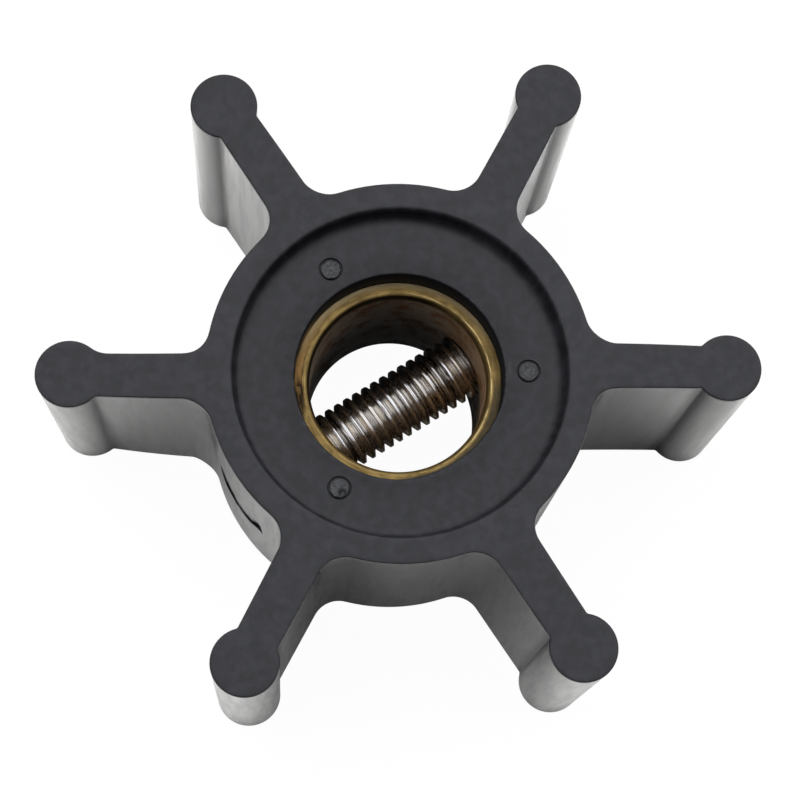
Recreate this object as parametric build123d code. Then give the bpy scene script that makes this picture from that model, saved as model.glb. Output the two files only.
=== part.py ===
from build123d import *

import os
from math import hypot

# A flexible pump impeller: a rubber hub with six beaded blades, bonded to a brass bush
# that a threaded drive screw crosses. Lengths are in millimetres and angles in degrees.
# The origin is on the hub's axis, in the plane of the lower end faces, and +Z runs along
# the axis. Blade 0 points along +X, and bearings turn from +X towards +Y.

# Rubber moulding
outer_diameter = 51.0
impeller_width = 22.0
hub_diameter = 27.4
blade_count = 6
blade_root_thickness = 3.5
blade_tip_thickness = 3.05
bead_diameter = 4.8
root_fillet = 2.1
neck_fillet = 0.4
edge_bevel = 0.15
# How far each blade has taken a set: its bead's sideways shift from its even spacing
bead_set = (-0.58, 0.0, 0.29, -0.52, 0.03, 0.16)

# Round recess in each end of the hub, left inside a rim
hub_rim = 1.95
recess_depth = 1.6
recess_corner = 0.4  # as a bevel between the recess's wall and its floor

# Gate marks in the upper recess: each a ring groove round a low pip
gate_mark_count = 3
gate_mark_offset = 1.7
gate_mark_diameter = 1.7
gate_groove_width = 0.16
gate_groove_depth = 0.15

# Brass bush
bore_diameter = 12.7
bush_wall = 1.1
bush_length = 14.0
bore_chamfer = 0.25
# The bore is relieved round the drive screw, so that the tap's burrs clear the shaft
burr_relief_depth = 0.2
burr_relief_margin = 0.5

# Drive screw: M5 with a pitch of 0.8, slotted at the end that faces the slit
thread_diameter = 4.9
screw_length = 16.0
screw_end_chamfer = 0.5
screw_drop = 1.2
screw_bearing = 210.0
driver_slot_width = 0.8
driver_slot_depth = 1.1

# Fits and the slit through which the screw is reached
thread_clearance = 0.05
pocket_end_clearance = 0.3
slit_length = 5.1
slit_gape = 0.5

# Worked out from the sizes above
hub_radius = hub_diameter / 2
bead_radius = bead_diameter / 2
bead_circle = outer_diameter / 2 - bead_radius
recess_radius = hub_radius - hub_rim
bore_radius = bore_diameter / 2
bush_radius = bore_radius + bush_wall
bush_base = (impeller_width - bush_length) / 2
gate_circle = bush_radius + gate_mark_offset
thread_radius = thread_diameter / 2
cross_hole_radius = thread_radius + thread_clearance
screw_height = impeller_width / 2 - screw_drop
pocket_reach = screw_length / 2 + pocket_end_clearance

# A cutter stands this far out of what it cuts, and a point this near a line lies on it
cut_margin = 1.0
nearness = 0.01


def screw_plane():
    """The plane across the screw at mid length, facing its slotted end, with its X level."""
    along = Vector(1, 0, 0).rotate(Axis.Z, screw_bearing)
    return Plane(origin=(0, 0, screw_height), x_dir=Vector(0, 0, 1).cross(along), z_dir=along)


def blade_side(side, shift):
    """One side of a blade in plan, bowed as the blade bends from its root to its bead."""
    start = (bush_radius, side * blade_root_thickness / 2)
    end = (bead_circle, shift + side * blade_tip_thickness / 2)
    if not shift:
        return Line(start, end)
    # A bend that starts straight at the root leaves the middle a quarter of the shift behind
    return SagittaArc(start, end, -shift / 4)


def blade_outline(bearing, shift):
    """One blade in plan: a taper from inside the hub to the round bead, filleted at its neck."""
    right = blade_side(-1, shift)
    left = blade_side(1, shift)
    web = make_face([right, Line(right @ 1, left @ 1), left, Line(left @ 0, right @ 0)])
    blade = web + Pos(bead_circle, shift) * Circle(bead_radius)
    necks = blade.vertices().filter_by_position(Axis.X, bush_radius + nearness, bead_circle)
    return Rot(0, 0, bearing) * fillet(necks, neck_fillet)


def impeller_outline():
    """The moulding's plan: the hub and its blades, with a fillet on each side of each root."""
    outline = Sketch() + Circle(hub_radius)
    for index in range(blade_count):
        outline += blade_outline(360 / blade_count * index, bead_set[index % len(bead_set)])
    roots = outline.vertices().filter_by(lambda vertex: hypot(vertex.X, vertex.Y) < hub_radius + nearness)
    return fillet(roots, root_fillet)


def recess_cutter():
    """The space of one recess, bevelled where its wall meets its floor."""
    height = recess_depth + cut_margin
    cutter = Cylinder(recess_radius, height, align=(Align.CENTER, Align.CENTER, Align.MIN))
    return chamfer(cutter.edges().sort_by(Axis.Z)[0], recess_corner)


def gate_grooves():
    """The ring grooves of the gate marks, in the floor of the upper recess."""
    outer = gate_mark_diameter / 2
    ring = Circle(outer) - Circle(outer - gate_groove_width)
    groove = extrude(ring, gate_groove_depth)
    floor = impeller_width - recess_depth
    marks = PolarLocations(gate_circle, gate_mark_count)
    return [Pos(0, 0, floor - gate_groove_depth) * mark * groove for mark in marks]


def slit_cutter():
    """The slit in the hub's side: a lens in section, from the screw's pocket to the open."""
    half = slit_length / 2
    lower = ThreePointArc((-half, 0), (0, -slit_gape / 2), (half, 0))
    upper = ThreePointArc((half, 0), (0, slit_gape / 2), (-half, 0))
    lens = make_face([lower, upper])
    reach = hub_radius + cut_margin
    return extrude(screw_plane() * lens, reach)


def impeller_body():
    """The rubber moulding, with its bore, recesses, gate marks, screw pocket and slit."""
    body = extrude(impeller_outline(), impeller_width)
    body -= Pos(0, 0, impeller_width - recess_depth) * recess_cutter()
    body -= Pos(0, 0, recess_depth) * Rot(180, 0, 0) * recess_cutter()
    ends = body.edges().group_by(Axis.Z)
    body = chamfer(ends[0] + ends[-1], edge_bevel)
    body -= Cylinder(bush_radius, impeller_width, align=(Align.CENTER, Align.CENTER, Align.MIN))
    body -= gate_grooves()
    body -= screw_plane() * Cylinder(cross_hole_radius, 2 * pocket_reach)
    body -= slit_cutter()
    return body


def hub_bush():
    """The brass bush, chamfered at both mouths, relieved and cross-drilled for the screw."""
    tube = Cylinder(bush_radius, bush_length) - Cylinder(bore_radius, bush_length)
    circles = tube.edges().filter_by(GeomType.CIRCLE)
    mouths = circles.filter_by(lambda edge: edge.radius < bush_radius - nearness)
    tube = Pos(0, 0, bush_base + bush_length / 2) * chamfer(mouths, bore_chamfer)
    relief_width = 2 * (cross_hole_radius + burr_relief_margin)
    tube -= Pos(0, 0, screw_height) * Cylinder(bore_radius + burr_relief_depth, relief_width)
    return tube - screw_plane() * Cylinder(cross_hole_radius, 2 * pocket_reach)


def drive_screw():
    """The drive screw at its thread's outside diameter, with its driver slot."""
    shank = Cylinder(thread_radius, screw_length)
    shank = chamfer(shank.edges().filter_by(GeomType.CIRCLE), screw_end_chamfer)
    slot = Pos(0, 0, screw_length / 2) * Box(thread_diameter, driver_slot_width, 2 * driver_slot_depth)
    return screw_plane() * (shank - slot)


def main():
    os.makedirs("parts", exist_ok=True)
    nodes = {
        "impeller_body": impeller_body(),
        "hub_bush": hub_bush(),
        "drive_screw": drive_screw(),
    }
    for name, solid in nodes.items():
        export_step(solid, os.path.join("parts", name + ".step"))


main()
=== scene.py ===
"""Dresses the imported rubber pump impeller: its rubber, brass and steel, in soft studio light."""

import logging
import math
from dataclasses import dataclass, field
from enum import Enum
from typing import Callable

import bmesh
import bpy
from mathutils import Matrix, Vector, noise
from mathutils.geometry import delaunay_2d_cdt


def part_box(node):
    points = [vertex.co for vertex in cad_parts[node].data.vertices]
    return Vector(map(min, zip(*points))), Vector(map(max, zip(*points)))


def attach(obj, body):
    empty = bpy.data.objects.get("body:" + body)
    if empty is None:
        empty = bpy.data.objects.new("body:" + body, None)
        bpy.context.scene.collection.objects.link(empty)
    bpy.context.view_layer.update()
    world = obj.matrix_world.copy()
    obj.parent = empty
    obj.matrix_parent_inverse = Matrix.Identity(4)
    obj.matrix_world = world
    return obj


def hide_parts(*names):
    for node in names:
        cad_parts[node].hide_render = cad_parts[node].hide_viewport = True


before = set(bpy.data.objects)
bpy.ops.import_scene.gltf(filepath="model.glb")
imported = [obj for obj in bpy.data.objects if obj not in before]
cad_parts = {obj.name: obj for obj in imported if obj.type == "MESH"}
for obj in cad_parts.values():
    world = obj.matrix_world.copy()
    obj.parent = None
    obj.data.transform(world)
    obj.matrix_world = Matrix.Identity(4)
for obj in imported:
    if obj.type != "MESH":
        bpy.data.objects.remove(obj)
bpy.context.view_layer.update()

# Lengths are in millimetres, and MM turns them into the scene's metres
MM = 0.001
TURN = 2 * math.pi
UP = Vector((0.0, 0.0, 1.0))
log = logging.getLogger("impeller")

Colour = tuple[float, float, float, float]
Flat = tuple[float, float]
Point = tuple[float, float, float]
Rows = list[list[Point]]
Object = bpy.types.Object
Material = bpy.types.Material
Socket = bpy.types.NodeSocket
Input = float | tuple[float, ...] | Socket
Inputs = dict[str | int, Input]

WHITE: Colour = (1.0, 1.0, 1.0, 1.0)


class Slot(Enum):
    """The record's material slots."""

    RUBBER = "rubber"
    BRASS = "brass"
    STEEL = "steel"


def node_size(name: str) -> tuple[Vector, Vector]:
    """Gives a CAD node's lowest and highest corners.

    Args:
        name: The node's name.

    Returns:
        The two corners, in millimetres.
    """
    low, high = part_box(name)
    return Vector(low) / MM, Vector(high) / MM


def polar(radius: float, degrees: float, height: float = 0.0) -> Vector:
    """Gives the point at a radius, bearing and height.

    Args:
        radius: The distance from the hub's axis.
        degrees: The bearing, from +X towards +Y.
        height: The height above the lower end faces.

    Returns:
        The point.
    """
    angle = math.radians(degrees)
    return Vector((radius * math.cos(angle), radius * math.sin(angle), height))


def smooth(value: float, low: float, high: float) -> float:
    """Gives a soft step from 0 at low to 1 at high.

    Args:
        value: The value to place between the two.
        low: Where the step starts.
        high: Where the step ends.

    Returns:
        The step's height at the value.
    """
    part = min(max((value - low) / (high - low), 0.0), 1.0)
    return part * part * (3.0 - 2.0 * part)


def inside(spot: Vector, border: list[Point]) -> bool:
    """Says whether a place in plan lies inside a closed border.

    Args:
        spot: The place.
        border: The border's points.

    Returns:
        Whether it does.
    """
    odd = False
    for index, (x, y, _) in enumerate(border):
        last_x, last_y, _ = border[index - 1]
        if (last_y > spot.y) != (y > spot.y):
            odd = odd != (spot.x < last_x + (spot.y - last_y) / (y - last_y) * (x - last_x))
    return odd


class Shell:
    """Collects the corners and faces of one closed mesh, in millimetres."""

    # Corners nearer than this are welded
    weld: float = 0.0004
    # A triangle lies outside a hole if its centre is past this share of the hole's radius
    nearly: float = 0.9999

    def __init__(self) -> None:
        """Starts an empty mesh."""
        self.points: list[Point] = []
        self.faces: list[tuple[int, ...]] = []

    def rows(self, rows: Rows) -> None:
        """Joins closed rows of points by quads, each row to the next.

        Args:
            rows: Rows of equal length.
        """
        start = len(self.points)
        count = len(rows[0])
        for row in rows:
            self.points.extend(row)
        for number in range(len(rows) - 1):
            base = start + number * count
            for column in range(count):
                beside = base + (column + 1) % count
                self.faces.append((base + column, beside, beside + count, base + column + count))

    def cap(self, row: list[Point]) -> None:
        """Closes a row of points with one face.

        Args:
            row: The row.
        """
        start = len(self.points)
        self.points.extend(row)
        self.faces.append(tuple(range(start, len(self.points))))

    def fill(self, border: list[Point], hole: list[Point], inner: list[Flat],
             height: Callable[[Vector], float]) -> None:
        """Fills a level patch between a closed border and a round hole with triangles.

        Args:
            border: The patch's border.
            hole: The hole's border, round the hub's axis.
            inner: More points to use between the two.
            height: Gives each point's height.
        """
        flat: list[Vector] = []
        edges: list[tuple[int, int]] = []
        for loop in (border, hole):
            base = len(flat)
            flat.extend(Vector(point[:2]) for point in loop)
            edges.extend((base + step, base + (step + 1) % len(loop)) for step in range(len(loop)))
        flat.extend(Vector(point) for point in inner)
        corners, _, triangles, _, _, _ = delaunay_2d_cdt(flat, edges, [], 0, 1e-7)
        start = len(self.points)
        self.points.extend((corner.x, corner.y, height(corner)) for corner in corners)
        least = Vector(hole[0][:2]).length * self.nearly
        for triangle in triangles:
            centre = sum((corners[index] for index in triangle), Vector((0.0, 0.0))) / 3
            if centre.length > least and inside(centre, border):
                self.faces.append(tuple(start + index for index in triangle))

    def build(self, name: str, sharp: float = 50.0) -> Object:
        """Welds the patches and puts the mesh into the scene.

        Args:
            name: The new object's name.
            sharp: Edges that turn by more than this many degrees are shaded sharp.

        Returns:
            The new object.
        """
        work = bmesh.new()
        corners = [work.verts.new(Vector(point) * MM) for point in self.points]
        for face in self.faces:
            work.faces.new([corners[index] for index in face])
        bmesh.ops.remove_doubles(work, verts=work.verts, dist=self.weld * MM)
        bmesh.ops.delete(work, geom=[vert for vert in work.verts if not vert.link_faces], context="VERTS")
        bmesh.ops.recalc_face_normals(work, faces=work.faces)
        mesh = bpy.data.meshes.new(name)
        work.to_mesh(mesh)
        work.free()
        piece = bpy.data.objects.new(name, mesh)
        bpy.context.collection.objects.link(piece)
        shade(piece, sharp)
        return piece


def shade(piece: Object, sharp: float) -> None:
    """Shades a mesh smoothly, save at its sharp edges.

    Args:
        piece: The mesh object.
        sharp: The least turn of a sharp edge, in degrees.
    """
    piece.data.polygons.foreach_set("use_smooth", [True] * len(piece.data.polygons))
    piece.data.set_sharp_from_angle(angle=math.radians(sharp))


def bar(name: str, rows: Rows) -> Object:
    """Makes a bar through rows of points, closed at both ends, to cut with.

    Args:
        name: The new object's name.
        rows: Its closed rows, of equal length.

    Returns:
        The bar.
    """
    shell = Shell()
    shell.rows(rows)
    shell.cap(rows[0])
    shell.cap(rows[-1])
    return shell.build(name)


def cut(piece: Object, cutter: Object, sharp: float) -> None:
    """Takes the space of one mesh out of another, and deletes the cutter.

    Args:
        piece: The mesh to cut.
        cutter: The space to take out of it.
        sharp: The least turn of a sharp edge, in degrees.
    """
    modifier = piece.modifiers.new("cut", "BOOLEAN")
    modifier.operation = "DIFFERENCE"
    modifier.solver = "EXACT"
    modifier.object = cutter
    bpy.context.view_layer.update()
    shape = piece.evaluated_get(bpy.context.evaluated_depsgraph_get())
    mesh = bpy.data.meshes.new_from_object(shape)
    piece.modifiers.clear()
    old = piece.data
    piece.data = mesh
    mesh.name = piece.name
    bpy.data.meshes.remove(old)
    bpy.data.meshes.remove(cutter.data)
    shade(piece, sharp)


def ring(radius: float, height: float, count: int) -> list[Point]:
    """Gives a level circle round the hub's axis.

    Args:
        radius: The circle's radius.
        height: Its height.
        count: How many points it has.

    Returns:
        The circle's points.
    """
    return [tuple(polar(radius, 360.0 * step / count, height)) for step in range(count)]


def rounded(corner: Flat, start: Flat, end: Flat, steps: int = 4) -> list[Flat]:
    """Gives a profile's quarter turn between two points that lie square to each other.

    Args:
        corner: The turn's centre.
        start: Where it starts.
        end: Where it ends.
        steps: How many chords it is made of.

    Returns:
        The turn's points, both ends among them.
    """
    first = Vector(start) - Vector(corner)
    second = Vector(end) - Vector(corner)
    turn = []
    for step in range(steps + 1):
        angle = math.pi / 2 * step / steps
        turn.append(tuple(Vector(corner) + first * math.cos(angle) + second * math.sin(angle)))
    return turn


class Graph:
    """The node tree of a material or world, with short calls that add and link its nodes."""

    def __init__(self, owner: Material | bpy.types.World) -> None:
        """Takes over the owner's tree and empties it.

        Args:
            owner: The material or world.
        """
        owner.use_nodes = True
        self.tree = owner.node_tree
        self.tree.nodes.clear()

    def add(self, kind: str, inputs: Inputs | None = None, **settings: object) -> bpy.types.Node:
        """Adds a shader node.

        Args:
            kind: The node's type, without its common prefix.
            inputs: A value or a socket for each input.
            settings: The node's own properties.

        Returns:
            The new node.
        """
        node = self.tree.nodes.new("ShaderNode" + kind)
        for key, value in settings.items():
            setattr(node, key, value)
        for key, value in (inputs or {}).items():
            if isinstance(value, Socket):
                self.tree.links.new(value, node.inputs[key])
            else:
                node.inputs[key].default_value = value
        return node

    def place(self) -> Socket:
        """Gives the place on the object, in metres."""
        return self.add("TexCoord").outputs["Object"]

    def noise(self, place: Input, size: float, detail: float, rough: float) -> Socket:
        """Gives a noise.

        Args:
            place: Where it is read.
            size: The size of its patches, in millimetres.
            detail: How many finer layers it has.
            rough: How strong those layers are.

        Returns:
            The noise, from 0 to 1.
        """
        values = {"Vector": place, "Scale": 1.0 / (size * MM), "Detail": detail, "Roughness": rough}
        return self.add("TexNoise", values).outputs[0]

    def grain(self, size: float, detail: float = 3.0, rough: float = 0.55, shift: float = 0.0,
              stretch: float = 1.0) -> Socket:
        """Gives a noise of a certain size on the object.

        Args:
            size: The size of its patches, in millimetres.
            detail: How many finer layers it has.
            rough: How strong those layers are.
            shift: Moves the pattern, so that two noises differ.
            stretch: How much longer its patches are along the hub's axis.

        Returns:
            The noise, from 0 to 1.
        """
        drawn = self.vector("MULTIPLY", self.place(), (1.0, 1.0, 1.0 / stretch))
        return self.noise(self.vector("ADD", drawn, (shift, shift, shift)), size, detail, rough)

    def remap(self, value: Input, low: float, high: float, start: float = 0.0, end: float = 1.0) -> Socket:
        """Stretches a value between low and high to start and end, with a soft step.

        Args:
            value: The value to stretch.
            low: Where the step starts.
            high: Where the step ends.
            start: The result at low.
            end: The result at high.

        Returns:
            The stretched value.
        """
        values = {"Value": value, "From Min": low, "From Max": high, "To Min": start, "To Max": end}
        return self.add("MapRange", values, interpolation_type="SMOOTHSTEP").outputs[0]

    def ramp(self, length: Input, low: float, high: float, start: float = 0.0, end: float = 1.0) -> Socket:
        """Stretches a length as remap does, with the step's ends in millimetres."""
        return self.remap(length, low * MM, high * MM, start, end)

    def near(self, length: Input, middle: float, low: float, high: float) -> Socket:
        """Gives a mask that is 1 next to a length in millimetres and fades out between low and high."""
        away = self.math("ABSOLUTE", self.math("SUBTRACT", length, middle * MM))
        return self.ramp(away, low, high, 1.0, 0.0)

    def math(self, operation: str, first: Input, second: Input = 0.0) -> Socket:
        """Works out a sum, product or other operation of two values."""
        return self.add("Math", {0: first, 1: second}, operation=operation).outputs[0]

    def product(self, first: Input, *others: Input) -> Socket:
        """Multiplies values by each other.

        Args:
            first: The first value.
            others: The values to multiply it by.

        Returns:
            The product.
        """
        for other in others:
            first = self.math("MULTIPLY", first, other)
        return first

    def vector(self, operation: str, first: Input, second: Input = (0.0, 0.0, 0.0)) -> Socket:
        """Works out an operation of two vectors.

        Args:
            operation: The operation.
            first: The first vector.
            second: The second vector, if it takes one.

        Returns:
            The vector that results, or the number where the result is one.
        """
        number = operation in ("LENGTH", "DISTANCE", "DOT_PRODUCT")
        node = self.add("VectorMath", {0: first, 1: second}, operation=operation)
        return node.outputs["Value" if number else "Vector"]

    def blend(self, share: Input, first: Input, second: Input) -> Socket:
        """Mixes two colours by a share of the second."""
        return self.add("Mix", {0: share, 6: first, 7: second}, data_type="RGBA").outputs[2]

    def bump(self, height: Input, depth: float, under: Input | None = None) -> Socket:
        """Turns a height from 0 to 1 into a bumpy normal.

        Args:
            height: The relief, from 0 to 1.
            depth: How deep it is, in millimetres.
            under: A normal with another relief, which this one is laid over.

        Returns:
            The normal.
        """
        values: Inputs = {"Height": height, "Distance": depth * MM, "Strength": 1.0}
        if under is not None:
            values["Normal"] = under
        return self.add("Bump", values).outputs[0]

    def mix(self, share: Input, first: bpy.types.Node, second: bpy.types.Node) -> bpy.types.Node:
        """Mixes two shaders by a share of the second."""
        return self.add("MixShader", {0: share, 1: first.outputs[0], 2: second.outputs[0]})

    def surface(self, shader: bpy.types.Node, output: str = "OutputMaterial") -> None:
        """Makes a shader the tree's result."""
        self.add(output, {"Surface": shader.outputs[0]})


@dataclass(frozen=True)
class RubberFinish:
    """Black moulded rubber: satin, faintly mottled, with a bloom that greys it here and there, and shade
    painted into its creases and round the bush's mouth.
    """

    dark: Colour = (0.0056, 0.0057, 0.0066, 1.0)
    bloom: Colour = (0.0120, 0.0121, 0.0146, 1.0)
    torn: Colour = (0.046, 0.047, 0.050, 1.0)
    scuffed: Colour = (0.018, 0.019, 0.022, 1.0)
    # Matt black mixed in as painted shade, in the necks' creases and round the bush's mouth
    painted_shade: Colour = (0.0035, 0.0035, 0.0035, 1.0)
    refraction: float = 1.5
    painted_shade_refraction: float = 1.15
    painted_shade_roughness: float = 0.6
    mottle_size: float = 0.7
    grain_size: float = 0.16
    grain_depth: float = 0.002
    flow: float = 9.0
    crumb_size: float = 0.13
    scuff_size: float = 0.5
    crease_reach: float = 0.9
    crease_shade_share: float = 0.45
    rub: Point = (7.82, 0.25, 20.4)
    rub_shape: Point = (1.0, 0.3, 1.0)
    rub_share: float = 0.3

    def material(self, marks: list[Vector], mark_radius: float, mouth: float, top: float,
                 necks: list[Vector]) -> Material:
        """Makes the material.

        Args:
            marks: The centres of the gate marks, whose torn faces are paler.
            mark_radius: The radius of a gate mark's face.
            mouth: The radius of the bush's hole, whose edge is scuffed, and round which shade is painted.
            top: The height of the upper end faces.
            necks: Where the blades' necks stand in plan, in whose creases shade is painted.

        Returns:
            The material.
        """
        material = bpy.data.materials.new("moulded_rubber")
        graph = Graph(material)
        x, y, z = graph.add("SeparateXYZ", {0: graph.place()}).outputs
        level = graph.add("CombineXYZ", {0: x, 1: y}).outputs[0]
        reach = graph.vector("LENGTH", level)
        mottle = graph.remap(graph.grain(self.mottle_size, 4.0, 0.6, stretch=self.flow), 0.35, 0.68)
        torn = self.near_marks(graph, marks, mark_radius)
        crumbs = graph.remap(graph.grain(self.crumb_size, 2.0, 0.7, 0.021), 0.3, 0.7)
        rim = graph.ramp(reach, mouth + 0.06, mouth + 0.32, 1.0, 0.0)
        scuffs = graph.remap(graph.grain(self.scuff_size, 4.0, 0.75, 0.031), 0.45, 0.75)
        colour = graph.blend(graph.product(mottle, 0.8), self.dark, self.bloom)
        colour = graph.blend(graph.product(torn, crumbs), colour, self.torn)
        colour = graph.blend(graph.product(rim, scuffs), colour, self.scuffed)
        colour = graph.blend(self.near_rub(graph), colour, self.torn)
        satin = graph.remap(mottle, 0.0, 1.0, 0.18, 0.24)
        clean = graph.add("BsdfPrincipled", {
            "Base Color": colour,
            "Roughness": graph.math("ADD", satin, graph.product(torn, 0.4)),
            "Normal": graph.bump(graph.grain(self.grain_size, 2.0, 0.5, 0.013, self.flow), self.grain_depth),
            "IOR": self.refraction,
        })
        painted_shade_shader = graph.add("BsdfPrincipled", {
            "Base Color": self.painted_shade, "Roughness": self.painted_shade_roughness, "IOR": self.painted_shade_refraction,
        })
        # Painted shade: a matt black mixed into the necks' creases, up to just below the upper end face
        below = graph.ramp(z, top - 0.4, top - 0.05, 1.0, 0.0)
        crease_shade = graph.product(self.near_necks(graph, level, necks), below, self.crease_shade_share)
        # Painted shade round the mouth of the bush's hole, strongest at its edge and faint over the rest of
        # the floor
        floor = graph.ramp(reach, mouth + 3.6, mouth + 4.2, 1.0, 0.0)
        mouth_shade = graph.product(graph.ramp(reach, mouth + 0.1, mouth + 2.2, 0.26, 0.08), floor)
        graph.surface(graph.mix(graph.math("MAXIMUM", crease_shade, mouth_shade), clean, painted_shade_shader))
        return material

    def near_rub(self, graph: Graph) -> Socket:
        """Gives a mask of the pale stroke rubbed onto the recess's floor beside a gate mark.

        Args:
            graph: The material's graph.

        Returns:
            The mask.
        """
        away = graph.vector("SUBTRACT", graph.place(), tuple(Vector(self.rub) * MM))
        beside = graph.vector("LENGTH", graph.vector("MULTIPLY", away, self.rub_shape))
        return graph.ramp(beside, 0.04, 0.24, self.rub_share, 0.0)

    def near_necks(self, graph: Graph, level: Socket, necks: list[Vector]) -> Socket:
        """Gives a mask of the creases at the blades' necks, where shade is painted.

        Args:
            graph: The material's graph.
            level: The place in plan.
            necks: Where the necks stand in plan.

        Returns:
            The mask: 1 in the creases, 0 away from them.
        """
        away: Input = 1.0
        for neck in necks:
            gap = graph.vector("DISTANCE", level, tuple(neck.to_3d() * MM))
            away = graph.math("MINIMUM", away, gap)
        return graph.ramp(away, 0.0, self.crease_reach, 1.0, 0.0)

    def near_marks(self, graph: Graph, marks: list[Vector], radius: float) -> Socket:
        """Gives a mask of the gate marks' torn faces.

        Args:
            graph: The material's graph.
            marks: The marks' centres.
            radius: Their radius.

        Returns:
            The mask: 1 on the marks, 0 elsewhere.
        """
        mask: Input = 0.0
        for centre in marks:
            reach = graph.vector("DISTANCE", graph.place(), tuple(centre * MM))
            mask = graph.math("MAXIMUM", mask, graph.ramp(reach, radius * 0.8, radius, 1.0, 0.0))
        return mask


@dataclass(frozen=True)
class BondFinish:
    """The matt black film of bonding agent in the bush's seat, with brass rubbed onto one side."""

    black: Colour = (0.0042, 0.0048, 0.0062, 1.0)
    brassy: Colour = (0.15, 0.095, 0.042, 1.0)
    refraction: float = 1.12
    roughness: float = 0.6
    streak_size: float = 0.9
    streak_height: float = 1.5
    grain_size: float = 0.2
    grain_depth: float = 0.01

    def material(self, radius: float, base: float) -> Material:
        """Makes the material.

        Args:
            radius: The seat's radius.
            base: The height of the bush's end, next to which the brass is rubbed on.

        Returns:
            The material.
        """
        material = bpy.data.materials.new("bond_film")
        graph = Graph(material)
        x, y, z = graph.add("SeparateXYZ", {0: graph.place()}).outputs
        left = graph.ramp(x, -radius * 0.9, -radius * 0.6, 1.0, 0.0)
        back = graph.ramp(y, -1.5, 1.0)
        low = graph.ramp(z, base, base + self.streak_height, 1.0, 0.0)
        streaks = graph.remap(graph.grain(self.streak_size, 3.0, 0.5, 0.041), 0.25, 0.6)
        graph.surface(graph.add("BsdfPrincipled", {
            "Base Color": graph.blend(graph.product(left, back, low, streaks), self.black, self.brassy),
            "Roughness": self.roughness, "IOR": self.refraction,
            "Normal": graph.bump(graph.grain(self.grain_size, 2.0, 0.5, 0.033), self.grain_depth),
        }))
        return material


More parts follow.
